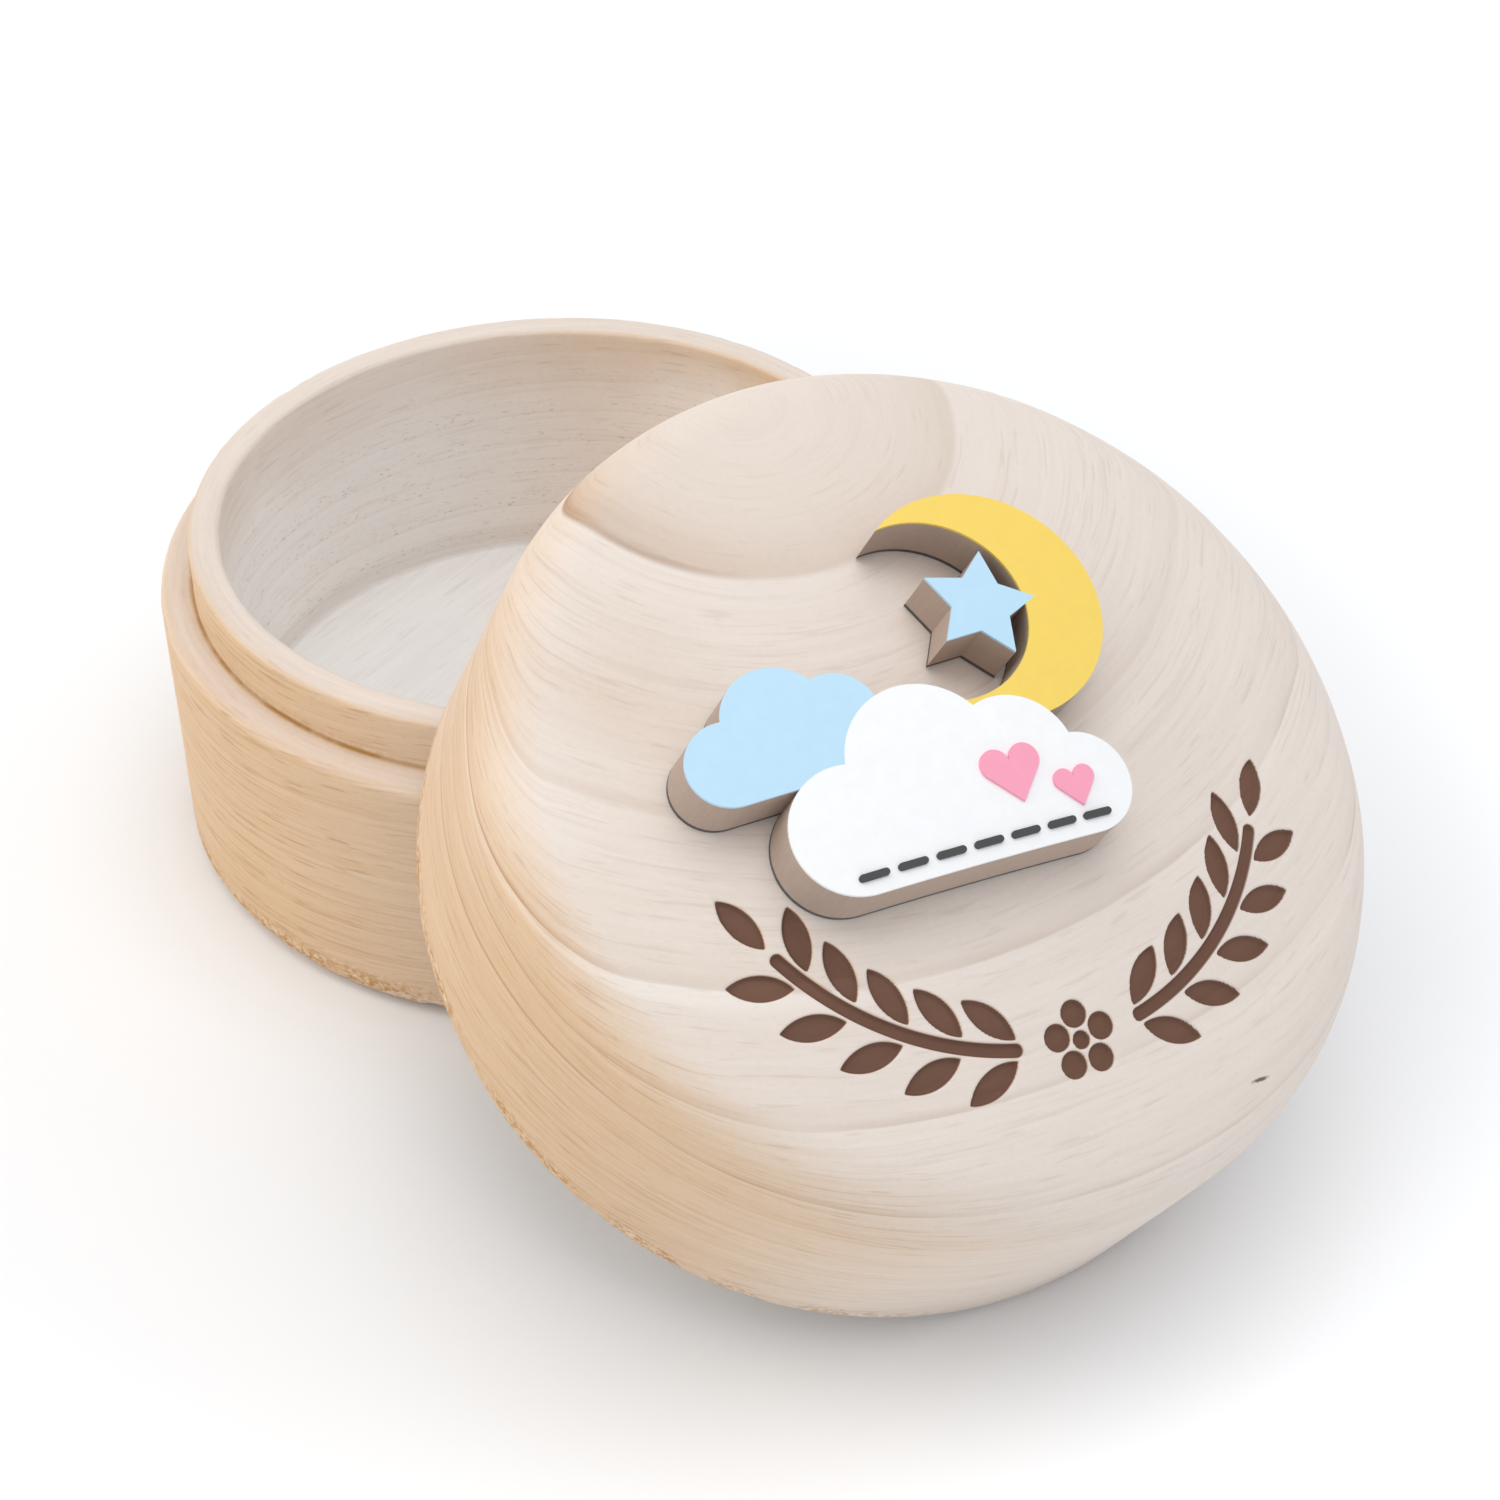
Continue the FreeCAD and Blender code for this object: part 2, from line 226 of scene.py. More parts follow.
class Finish:
    """Node tree of one finish. Each call adds a node and gives back its output."""

    def __init__(self, name):
        self.material = bpy.data.materials.new(name)
        self.material.use_nodes = True
        self.tree = self.material.node_tree
        self.surface = self.tree.nodes["Principled BSDF"]

    def feed(self, socket, value):
        """Sets a socket to a value, or links another node's output to it."""
        if isinstance(value, bpy.types.NodeSocket):
            self.tree.links.new(value, socket)
        else:
            socket.default_value = value

    def add(self, kind, inputs, output=0, **settings):
        """Adds a node of a kind with its inputs by name or place, and gives back one of its outputs."""
        made = self.tree.nodes.new("ShaderNode" + kind)
        for name, value in settings.items():
            setattr(made, name, value)
        for name, value in inputs.items():
            self.feed(made.inputs[name], value)
        return made.outputs[output]

    def sum(self, operation, *terms):
        """One step of arithmetic on numbers."""
        return self.add("Math", dict(enumerate(terms)), operation=operation)

    def vector(self, operation, *terms, output=0):
        """One step of arithmetic on places or directions. Output 1 is a number."""
        return self.add("VectorMath", dict(enumerate(terms)), output, operation=operation)

    def noise(self, at, scale, detail, roughness=0.5, output=0):
        """Smooth chance pattern at a place, a number of about 0.5, or three of them as output 1."""
        inputs = {"Vector": at, "Scale": scale, "Detail": detail, "Roughness": roughness}
        return self.add("TexNoise", inputs, output)

    def ease(self, value, low, high, first=0.0, last=1.0):
        """Smooth step from first to last as a value goes from low to high."""
        inputs = {"Value": value, "From Min": low, "From Max": high, "To Min": first, "To Max": last}
        return self.add("MapRange", inputs, interpolation_type="SMOOTHSTEP")

    def mix(self, share, first, second):
        """Blend of two colours, by the share of the second."""
        return self.add("Mix", {0: share, 6: first, 7: second}, 2, data_type="RGBA")

    def between(self, share, first, second):
        """Blend of two numbers, by the share of the second."""
        return self.add("Mix", {0: share, 2: first, 3: second}, 0, data_type="FLOAT")

    def wear(self, **sockets):
        """Feeds the shader's own sockets, with spaces in their names written as underscores."""
        for name, value in sockets.items():
            self.feed(self.surface.inputs[name.replace("_", " ")], value)


def shade(red, green, blue):
    """Colour as it looks on a screen, 0 to 255, turned into the light that it stands for."""
    light = []
    for level in (red, green, blue):
        level /= 255
        light.append(level / 12.92 if level <= 0.04045 else ((level + 0.055) / 1.055) ** 2.4)
    return (*light, 1.0)


def turned_spot(wood, place):
    """Place in millimetres in a turned piece's own frame, and the way that its surface faces there."""
    spot = wood.tree.nodes.new("ShaderNodeTexCoord").outputs
    turn = place.to_euler()
    local = {"Vector": spot["Object"], "Location": place.translation, "Rotation": turn, "Scale": (MM,) * 3}
    at = wood.add("Mapping", local, vector_type="TEXTURE")
    facing = wood.add("Mapping", {"Vector": spot["Normal"], "Rotation": turn}, vector_type="TEXTURE")
    return at, facing


def wander(wood, at, size):
    """Slow drift of the growth layers up and down, in millimetres."""
    return wood.ease(wood.noise(at, 0.035, 0.0), 0.25, 0.75, -size, size)


def streaks(wood, at, across, along, fineness, detail):
    """Noise drawn out along the grain, coarse the way of the growth layers and fine across them."""
    lift = wood.add("CombineXYZ", {"Z": wood.sum("MULTIPLY", across, fineness)})
    return wood.noise(wood.vector("MULTIPLY_ADD", at, (along, along, 0), lift), 1.0, detail, 0.6)


def grain(wood, at, across, season, streak_size, late_size, line_size, early_size):
    """Tone, 0 light to 1 dark, and thin dark marks of wood at a distance across its growth layers.
    The season runs from 0 to 1 in each layer, from light early wood to darker late wood and a thin line."""
    run = (wood, at, across)
    broad = wood.add("TexNoise", {"W": across, "Scale": 0.25, "Detail": 2.0}, noise_dimensions="1D")
    patchy = wood.ease(wood.noise(at, 0.08, 2.0), 0.38, 0.64, 0.3, 1.0)
    late = wood.sum("MULTIPLY", wood.sum("POWER", season, 4.0), wood.ease(season, 1.0, 0.97))
    line = wood.sum("MULTIPLY", wood.sum("POWER", season, 18.0), wood.ease(season, 1.0, 0.98))
    streak = streaks(*run, along=0.06, fineness=1.6, detail=5.0)
    streak = wood.sum("MULTIPLY", wood.sum("SUBTRACT", streak, 0.5), streak_size)
    tone = wood.sum("MULTIPLY_ADD", broad, 0.15, 0.20)
    tone = wood.sum("MULTIPLY_ADD", wood.noise(at, 2.4, 3.0), 0.15, tone)
    tone = wood.sum("ADD", tone, streak)
    tone = wood.sum("MULTIPLY_ADD", late, late_size, tone)
    tone = wood.sum("SUBTRACT", tone, wood.sum("MULTIPLY", wood.ease(season, 0.2, 0.02), early_size))
    hairs = wood.ease(streaks(*run, along=0.10, fineness=3.4, detail=3.0), 0.53, 0.66, 0.0, 0.7)
    hairs = wood.sum("MULTIPLY", hairs, patchy)
    dashes = wood.ease(streaks(*run, along=0.26, fineness=3.0, detail=1.0), 0.60, 0.74, 0.0, 0.8)
    pores = wood.ease(streaks(*run, along=0.9, fineness=4.2, detail=1.0), 0.66, 0.78, 0.0, 0.5)
    worn = wood.ease(streaks(*run, along=0.08, fineness=0.8, detail=2.0), 0.35, 0.65, 0.35, 1.0)
    line = wood.sum("MULTIPLY", wood.sum("MULTIPLY", line, line_size), worn)
    marks = wood.sum("MAXIMUM", wood.sum("MAXIMUM", hairs, dashes), wood.sum("MAXIMUM", pores, line))
    return tone, marks


def near_edge(wood, section, radius, height, width):
    """How near a place in the half section is to a turned edge, 1 on it and 0 a width away."""
    apart = wood.vector("DISTANCE", section, (radius, 0, height), output=1)
    return wood.ease(apart, width, 0.0)


def half_section(wood, at):
    """Place in the half section: the distance from the axis along X, and the height along Z."""
    reach = wood.vector("LENGTH", wood.vector("MULTIPLY", at, (1, 1, 0)), output=1)
    return wood.add("CombineXYZ", {"X": reach, "Z": wood.add("SeparateXYZ", {0: at}, "Z")}), reach


def bare_wood(wood, facing, tone, marks, warm_light_heading, inside):
    """Colour of pale bare wood, with painted warm light that yellows the side a heading points to, and
    greyer inside, where painted light and shade turn it browner or greyer by the way it faces.
    """
    heading = (math.cos(math.radians(warm_light_heading)), math.sin(math.radians(warm_light_heading)), 0)
    # Painted warm light: the side that faces the heading turns gold, as if lit by a warm lamp, and its marks
    # turn golden and stronger
    towards = wood.vector("DOT_PRODUCT", facing, heading, output=1)
    painted_warm_light = wood.ease(wood.sum("MULTIPLY_ADD", tone, 0.45, towards), 0.22, 1.38)
    painted_warm_light = wood.sum("MULTIPLY", painted_warm_light, wood.sum("SUBTRACT", 1.0, inside))
    pale = wood.mix(tone, shade(240, 230, 221), shade(209, 191, 175))
    gold = wood.mix(tone, shade(230, 196, 156), shade(202, 160, 111))
    brown = wood.mix(tone, shade(253, 242, 230), shade(228, 210, 194))
    grey = wood.mix(tone, shade(252, 251, 249), shade(228, 224, 220))
    # Painted light and shade inside: walls that face one way are greyer, and those that face away are
    # browner
    cool_facing = wood.vector("DOT_PRODUCT", facing, (0.77, 0.64, 0.9), output=1)
    painted_inside_light = wood.mix(wood.ease(cool_facing, 0.0, 0.9), brown, grey)
    colour = wood.mix(painted_warm_light, wood.mix(inside, pale, painted_inside_light), gold)
    mark_colour = wood.mix(painted_warm_light, shade(162, 132, 110), shade(174, 114, 62))
    mark_size = wood.between(inside, wood.between(painted_warm_light, 0.17, 0.5), 0.4)
    return wood.mix(wood.sum("MULTIPLY", marks, mark_size), colour, mark_colour)


def fuzz(wood, at, facing, colour, near):
    """Colour with the golden and the pale specks of torn fibres near an edge, most on the side that faces
    -Y, where the painted warm light falls.
    """
    speck_fineness = (1.7, 1.7, 2.6)
    clump_shift = (0, 40, 0)
    torn = wood.noise(wood.vector("MULTIPLY", at, speck_fineness), 1.0, 4.0, 0.7)
    clumps = wood.noise(wood.vector("ADD", at, clump_shift), 0.22, 2.0)
    near = wood.sum("MULTIPLY", near, wood.ease(clumps, 0.36, 0.54, 0.15, 1.0))
    towards = wood.vector("DOT_PRODUCT", facing, (0, -1, 0), output=1)
    near = wood.sum("MULTIPLY", near, wood.ease(towards, 0.2, 0.9, 0.2, 1.0))
    golden = wood.sum("MULTIPLY", near, wood.ease(torn, 0.46, 0.56))
    pale = wood.sum("MULTIPLY", near, wood.ease(torn, 0.42, 0.34))
    colour = wood.mix(wood.sum("MULTIPLY", golden, 0.85), colour, shade(182, 126, 52))
    return wood.mix(wood.sum("MULTIPLY", pale, 0.7), colour, shade(240, 222, 198))


def wear_wood(wood, colour, marks):
    """Feeds the shader of sanded wood, with its pores a little sunk and rougher."""
    normal = wood.add("Bump", {"Strength": 0.2, "Distance": 0.02 * MM, "Height": marks}, invert=True)
    rough = wood.sum("MULTIPLY_ADD", marks, 0.12, 0.62)
    wood.wear(Base_Color=colour, Roughness=rough, Specular_IOR_Level=0.3, Normal=normal)


# Growth layers of the body lie nearly level: lines round its wall, and broad streaks on its flat faces
body_layer = 2.8
body_layer_slope = 0.10
body_wood = Finish("body_wood")
body_at, body_facing = turned_spot(body_wood, Matrix.Identity(4))
body_half, body_reach = half_section(body_wood, body_at)
body_level = body_wood.vector("DOT_PRODUCT", body_at, (-body_layer_slope, 0, 1), output=1)
body_level = body_wood.sum("ADD", body_level, wander(body_wood, body_at, 0.4))
body_season = body_wood.sum("FRACT", body_wood.sum("DIVIDE", body_level, -body_layer))
body_inside = body_wood.ease(body_reach, hollow_rim_radius + 0.1, hollow_rim_radius - 0.15)
wall_streaks = body_wood.between(body_inside, 0.40, 0.30)
wall_lines = body_wood.between(body_inside, 0.4, 1.0)
wall_grain = grain(body_wood, body_at, body_level, body_season, wall_streaks, 0.08, wall_lines, 0.03)
floor_across = body_wood.vector("DOT_PRODUCT", body_at, (0.94, 0.34, 0), output=1)
flat_across = body_wood.between(body_inside, body_reach, floor_across)
flat_grain = grain(body_wood, body_at, flat_across, body_season, 0.7, 0.0, 0.0, 0.0)
rim_edge = spigot_radius - 0.2
flat_handled = body_wood.ease(body_reach, rim_edge, rim_edge + 0.4, 0.25, 0.38)
flat_handled = body_wood.between(body_inside, flat_handled, 0.3)
body_upward = body_wood.vector("DOT_PRODUCT", body_facing, (0, 0, 1), output=1)
body_flat = body_wood.ease(body_wood.sum("ABSOLUTE", body_upward), 0.6, 0.95)
flat_tone = body_wood.sum("ADD", flat_grain[0], flat_handled)
body_tone = body_wood.between(body_flat, wall_grain[0], flat_tone)
flat_marks = body_wood.sum("MULTIPLY", flat_grain[1], body_wood.between(body_inside, 0.7, 0.4))
body_marks = body_wood.between(body_flat, wall_grain[1], flat_marks)

# Open pores inside the hollow, painted shade in its corner above the floor, and a darker side of its wall
hollow_pits = streaks(body_wood, body_at, body_level, along=1.5, fineness=5.0, detail=1.0)
hollow_pits = body_wood.ease(hollow_pits, 0.60, 0.74)
hollow_wall = body_wood.sum("MULTIPLY", body_inside, body_wood.sum("SUBTRACT", 1.0, body_flat))
pit_share = body_wood.sum("MULTIPLY", hollow_wall, body_wood.ease(body_season, 0.2, 0.95, 0.3, 1.0))
body_marks = body_wood.sum("MULTIPLY", body_marks, body_wood.ease(hollow_wall, 0.0, 1.0, 1.0, 0.4))
body_marks = body_wood.sum("MAXIMUM", body_marks, body_wood.sum("MULTIPLY", hollow_pits, pit_share))
# Painted shade: the hollow's wall darkens towards the corner with its floor
hollow_foot = near_edge(body_wood, body_half, hollow_foot_radius, hollow_floor, 3.0)
painted_corner_shade = body_wood.sum("MULTIPLY", hollow_foot, hollow_wall)
body_tone = body_wood.sum("MULTIPLY_ADD", painted_corner_shade, 0.8, body_tone)
# The hollow's wall is darker where it faces +X, a little towards -Y
hollow_darker_side = body_wood.vector("DOT_PRODUCT", body_facing, (0.97, -0.26, 0), output=1)
hollow_darker_side = body_wood.sum("MULTIPLY", body_wood.ease(hollow_darker_side, 0.6, 1.0), hollow_wall)
body_tone = body_wood.sum("MULTIPLY_ADD", hollow_darker_side, 0.35, body_tone)

# Bare wood with painted warm light on one side, torn at the foot and below the spigot, with a painted shade
# line in the corner there
# The body's painted warm light falls on the side that this heading points to
body_warm_light_heading = -86
body_colour = bare_wood(body_wood, body_facing, body_tone, body_marks, body_warm_light_heading, body_inside)
body_foot = near_edge(body_wood, body_half, body_foot_radius, 1.3, 1.9)
body_colour = fuzz(body_wood, body_at, body_facing, body_colour, body_foot)
spigot_foot = near_edge(body_wood, body_half, spigot_radius, spigot_foot_height, 1.0)
spigot_foot = body_wood.sum("MULTIPLY", spigot_foot, 0.35)
body_colour = fuzz(body_wood, body_at, body_facing, body_colour, spigot_foot)
# Painted shade: a thin golden brown line in the corner at the spigot's foot, broken up by noise
spigot_corner = near_edge(body_wood, body_half, spigot_radius, spigot_foot_height, 0.36)
spigot_shade_breakup = body_wood.ease(body_wood.noise(body_at, 0.35, 3.0), 0.36, 0.56, 0.65, 1.0)
painted_spigot_shade = body_wood.sum("MULTIPLY", spigot_corner, spigot_shade_breakup)
body_colour = body_wood.mix(painted_spigot_shade, body_colour, shade(168, 118, 54))
wear_wood(body_wood, body_colour, body_marks)
body.data.materials.append(body_wood.material)
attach(body, "box")
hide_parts("box_body")


# Lid: a dome turned from a second block, with a recess below that fits the spigot and a deeper hollow above.
# It is loose. Here it is off, and leans with its lower edge on the table and its recess on the spigot's rim.
# A sprig of leaves with a blossom is burnt into the dome.

swing = frame["joints"][0]
swing_axis = Vector(swing["axis"])
swing_pivot = Matrix.Translation(swing["pos_m"])
lean = math.radians(swing["range_deg"][1])
hover_gap = 0.8
level_place = Matrix.Translation((0, 0, (rim_height + hover_gap) * MM))
leaning = swing_pivot @ Matrix.Rotation(-lean, 4, swing_axis) @ swing_pivot.inverted() @ level_place

lid_radius = 30.0
lid_wall_height = 17.1
lid_corner_round = 4.9
dome_rise = 3.3
lid_edge_round = 0.8
recess_radius = 27.15
recess_depth = 4.5
recess_lip_round = 0.3
lid_hollow_radius = 24.55
lid_hollow_depth = 17.8
lid_hollow_round = 4.5
lid_height = lid_wall_height + lid_corner_round + dome_rise
corner_middle = lid_radius - lid_corner_round
dome_reach = corner_middle ** 2 + (lid_corner_round + dome_rise) ** 2 - lid_corner_round ** 2
dome_radius = dome_reach / (2 * dome_rise)
dome_centre_height = lid_height - dome_radius
corner_end = math.degrees(math.atan2(lid_wall_height - dome_centre_height, corner_middle))

sprig_turn = 81.0
sprig_radius = 19.4
sprig_depth = 0.35
sprig_first_leaf = 13.0
sprig_leaf_step = 10.5
sprig_leaf_pairs = 5
stem_width = 0.75
leaf_length = 4.0
leaf_width = 1.5
leaf_angle = 37.0
leaf_gap = 0.3
petal_count = 5
petal_radius = 0.8
petal_gap = 0.3
sprig_band = (16.0, 23.1)
sprig_reach = 75.0

lid_mesh_step = 1.3
corner_mesh_step = 0.3
dome_mesh_step = 0.9
sprig_mesh_step = 0.12
lid_heading_step = 1.4
sprig_heading_step = 0.36
sprig_middle = sprig_turn - 90
fine_headings = np.arange(sprig_middle - sprig_reach, sprig_middle + sprig_reach, sprig_heading_step)
wide_headings = np.arange(sprig_middle + sprig_reach, sprig_middle + 360 - sprig_reach, lid_heading_step)
lid_headings = np.radians(np.concatenate([fine_headings, wide_headings]))

lid_corners = [
    (0, lid_hollow_depth, 0),
    (lid_hollow_radius, lid_hollow_depth, lid_hollow_round),
    (lid_hollow_radius, recess_depth, 0),
    (recess_radius, recess_depth, 0),
    (recess_radius, 0, recess_lip_round),
    (lid_radius, 0, lid_edge_round),
    (lid_radius, lid_wall_height, 0),
]
lid_section = rounded_section(lid_corners, lid_mesh_step)[:-1]
corner_centre = Vector((corner_middle, lid_wall_height))
lid_section += bend(corner_centre, lid_corner_round, 0, corner_end, corner_mesh_step)[:-1]
band_edges = [math.degrees(math.acos(radius / dome_radius)) for radius in sprig_band]
dome_centre = Vector((0, dome_centre_height))
lid_section += bend(dome_centre, dome_radius, corner_end, band_edges[1], dome_mesh_step)[:-1]
lid_section += bend(dome_centre, dome_radius, band_edges[1], band_edges[0], sprig_mesh_step)[:-1]
lid_section += bend(dome_centre, dome_radius, band_edges[0], 90, dome_mesh_step)

lid_points, lid_normals = turned_points(lid_section, lid_headings)


def around(radius, angle):
    """Point of the sprig's drawing at a radius and an angle in degrees."""
    return radius * np.array([math.cos(math.radians(angle)), math.sin(math.radians(angle))])


def leaf_distance(spots, root, heading):
    """Distance of spots outside a pointed leaf, the space that two arcs through its root and tip enclose."""
    arc_radius = (leaf_length ** 2 / 4 + leaf_width ** 2 / 4) / leaf_width
    middle = root + around(leaf_length / 2, heading)
    offset = around(arc_radius - leaf_width / 2, heading + 90)
    inside_arcs = [np.linalg.norm(spots - middle - side * offset, axis=1) - arc_radius for side in (-1, 1)]
    past_tip = np.abs((spots - middle) @ around(1, heading)) - leaf_length / 2
    off_line = (spots - middle) @ around(1, heading + 90)
    from_tip = np.where(past_tip > 0, np.hypot(past_tip, off_line), -leaf_length)
    return np.maximum(np.maximum(*inside_arcs), from_tip)


def disc_distance(spots, middle, radius):
    """Distance of spots outside a round dot."""
    return np.linalg.norm(spots - middle, axis=1) - radius


def stem_distance(spots, start, end):
    """Distance of spots outside a stem that follows the sprig's arc between two angles."""
    angles = np.degrees(np.arctan2(spots[:, 1], spots[:, 0]))
    held = np.radians(np.clip(angles, min(start, end), max(start, end)))
    nearest = sprig_radius * np.stack([np.cos(held), np.sin(held)], axis=1)
    return np.linalg.norm(spots - nearest, axis=1) - stem_width / 2


def sprig_distance(spots):
    """Distance of spots outside the nearest stroke of the sprig, negative inside it."""
    bottom = -90
    blossom = around(sprig_radius, bottom)
    petal_ring = (petal_radius + petal_gap / 2) / math.sin(math.pi / petal_count)
    strokes = [disc_distance(spots, blossom, petal_ring - petal_radius - petal_gap)]
    for i in range(petal_count):
        petal = blossom + around(petal_ring, 360 * i / petal_count - bottom)
        strokes.append(disc_distance(spots, petal, petal_radius))
    stem_end = sprig_first_leaf + (sprig_leaf_pairs - 0.5) * sprig_leaf_step
    for side in (-1, 1):
        strokes.append(stem_distance(spots, bottom + side * sprig_first_leaf, bottom + side * stem_end))
        for i in range(sprig_leaf_pairs):
            angle = bottom + side * (sprig_first_leaf + i * sprig_leaf_step)
            for edge in (-1, 1):
                root = around(sprig_radius + edge * (stem_width / 2 + leaf_gap), angle)
                strokes.append(leaf_distance(spots, root, angle + side * (90 - edge * leaf_angle)))
        tip = bottom + side * (stem_end + math.degrees((stem_width + leaf_gap) / sprig_radius))
        strokes.append(leaf_distance(spots, around(sprig_radius, tip), tip + side * 90))
    return np.min(strokes, axis=0)


off_the_sprig = 5.0
stroke_side_width = 0.12
char_spread = 0.06
char_fade = 0.5
turn_back = math.radians(-sprig_turn)
unturn = np.array([[math.cos(turn_back), -math.sin(turn_back)], [math.sin(turn_back), math.cos(turn_back)]])
from_stroke = np.full(len(lid_points), off_the_sprig)
on_dome = lid_points[:, 2] > lid_wall_height + lid_corner_round / 2
from_stroke[on_dome] = sprig_distance(lid_points[on_dome, :2] @ unturn.T)
burn = np.clip(0.5 - from_stroke / stroke_side_width, 0, 1)

lid_points = hand_sanded(lid_points, lid_normals, 23)
lid_points = nicked(lid_points, lid_normals, 24, lid_radius, 0, count=60)
lid_points -= lid_normals * (sprig_depth * burn)[:, None]
lid = turned_piece("lid_turned", lid_points, len(lid_section), leaning)
burnt = lid.data.attributes.new("burnt", "FLOAT", "POINT")
burnt.data.foreach_set("value", np.clip(0.5 - (from_stroke - char_spread) / char_fade, 0, 1))
closed_at_axis(lid)

# Growth layers of the lid lean across it, and bend down with the dome over its far corner
lid_layer = 3.7
lid_first_layer = 1.07
lid_pale_layer = 2.2
lid_most_dip = 3.2
lid_layer_lean = math.radians(16.0)
lid_layer_up = Vector((-math.sin(lid_layer_lean), 0, math.cos(lid_layer_lean)))
lid_wood = Finish("lid_wood")
lid_at, lid_facing = turned_spot(lid_wood, leaning)
lid_half, lid_reach = half_section(lid_wood, lid_at)
from_dome_centre = lid_wood.vector("SUBTRACT", lid_at, (0, 0, dome_centre_height))
lid_level = lid_wood.vector("DOT_PRODUCT", from_dome_centre, lid_layer_up, output=1)
lid_flat_depth = lid_wood.sum("SUBTRACT", dome_radius, lid_level)
lid_up = lid_wood.add("SeparateXYZ", {0: lid_at}, "Z")
dome_over = lid_wood.sum("SUBTRACT", dome_radius ** 2, lid_wood.sum("POWER", lid_reach, 2.0))
dome_over = lid_wood.sum("ADD", lid_wood.sum("SQRT", dome_over), dome_centre_height)
lid_drop = lid_wood.sum("MULTIPLY", lid_wood.sum("SUBTRACT", dome_over, lid_up), lid_layer_up.z)
lid_bent = lid_wood.ease(lid_wood.sum("SUBTRACT", lid_flat_depth, lid_drop), 4.2, 0.9)
lid_dip = lid_wood.sum("TANH", lid_wood.sum("DIVIDE", lid_drop, lid_most_dip))
lid_dip = lid_wood.sum("MULTIPLY", lid_wood.sum("MULTIPLY", lid_dip, lid_most_dip), lid_bent)
lid_depth = lid_wood.sum("MAXIMUM", lid_wood.sum("SUBTRACT", lid_flat_depth, lid_dip), 0.0)
lid_ring = lid_wood.sum("SQRT", lid_wood.sum("MULTIPLY", lid_depth, 2 * dome_radius))
lid_ring = lid_wood.sum("ADD", lid_ring, wander(lid_wood, lid_at, 0.35))
lid_bent_depth = lid_wood.sum("DIVIDE", lid_wood.sum("POWER", lid_ring, 2.0), 2 * dome_radius)
lid_turns = lid_wood.sum("DIVIDE", lid_wood.sum("SUBTRACT", lid_bent_depth, lid_first_layer), lid_layer)
lid_season = lid_wood.sum("FRACT", lid_turns)

# Strength of the streaks, late wood, lines and early wood, which differs from layer to layer
lid_streaks = lid_wood.ease(lid_ring, 5.0, 26.0, 0.15, 0.40)
lid_across = lid_wood.add("SeparateXYZ", {0: lid_at}, "Y")
lid_first_late = lid_wood.ease(lid_across, -14.0, 12.0, 0.55, 0.35)
lid_first_late = lid_wood.sum("MULTIPLY", lid_first_late, lid_wood.ease(lid_drop, 1.2, 3.2, 1.0, 0.3))
lid_later = lid_wood.ease(lid_turns, 3.2, 2.8, 0.02, 0.07)
lid_late = lid_wood.between(lid_wood.ease(lid_turns, 0.0, 0.1), lid_first_late, lid_later)
lid_lines = lid_wood.ease(lid_turns, 1.2, 1.7, 0.8, 2.2)
lid_lines = lid_wood.sum("MULTIPLY", lid_lines, lid_wood.ease(lid_turns, 4.3, 4.0, 0.15, 1.0))
lid_first_line = lid_wood.ease(lid_across, -4.0, -13.0, 0.0, 4.0)
lid_first_line = lid_wood.sum("MULTIPLY", lid_first_line, lid_wood.ease(lid_turns, 0.1, 0.0))
lid_lines = lid_wood.sum("MAXIMUM", lid_lines, lid_first_line)
from_pale_layer = lid_wood.sum("ABSOLUTE", lid_wood.sum("SUBTRACT", lid_turns, lid_pale_layer))
lid_early = lid_wood.ease(from_pale_layer, 0.5, 0.3, 0.03, 0.28)
lid_early = lid_wood.sum("MULTIPLY", lid_early, lid_wood.ease(lid_across, -8.0, -24.0, 0.3, 1.0))
lid_tone, lid_marks = grain(lid_wood, lid_at, lid_ring, lid_season,
                            lid_streaks, lid_late, lid_lines, lid_early)
lid_marks = lid_wood.sum("MULTIPLY", lid_marks, lid_wood.ease(lid_ring, 3.0, 14.0, 0.5, 1.0))

# Lighter and darker patches in the wood, each with its place, its reach and its tone
lid_patches = [
    ((26.0, -16.0, 3.0), 15.0, -0.22),
    ((-13.0, -17.5, 23.0), 9.0, 0.22),
    ((-10.0, -28.0, 19.7), 10.0, -0.2),
]
for patch_place, patch_reach, patch_tone in lid_patches:
    from_patch = lid_wood.vector("DISTANCE", lid_at, patch_place, output=1)
    patch = lid_wood.ease(from_patch, patch_reach, 0.0)
    lid_tone = lid_wood.sum("MULTIPLY_ADD", patch, patch_tone, lid_tone)

# Bare wood with painted warm light on one side, greyer inside, torn and paler along the lower edge
lid_warm_light_heading = -91
lid_hollow = lid_wood.ease(lid_reach, recess_radius + 0.1, recess_radius - 0.1)
lid_below = lid_wood.ease(lid_up, lid_hollow_depth + 1.5, lid_hollow_depth + 0.5)
lid_inside = lid_wood.sum("MULTIPLY", lid_hollow, lid_below)
lid_colour = bare_wood(lid_wood, lid_facing, lid_tone, lid_marks, lid_warm_light_heading, lid_inside)
lid_rim = near_edge(lid_wood, lid_half, lid_radius, 1.2, 1.4)
lid_colour = fuzz(lid_wood, lid_at, lid_facing, lid_colour, lid_rim)
lid_lip = near_edge(lid_wood, lid_half, lid_radius - 0.4, 0, 0.55)
lid_colour = lid_wood.mix(lid_wood.sum("MULTIPLY", lid_lip, 0.6), lid_colour, shade(240, 224, 204))

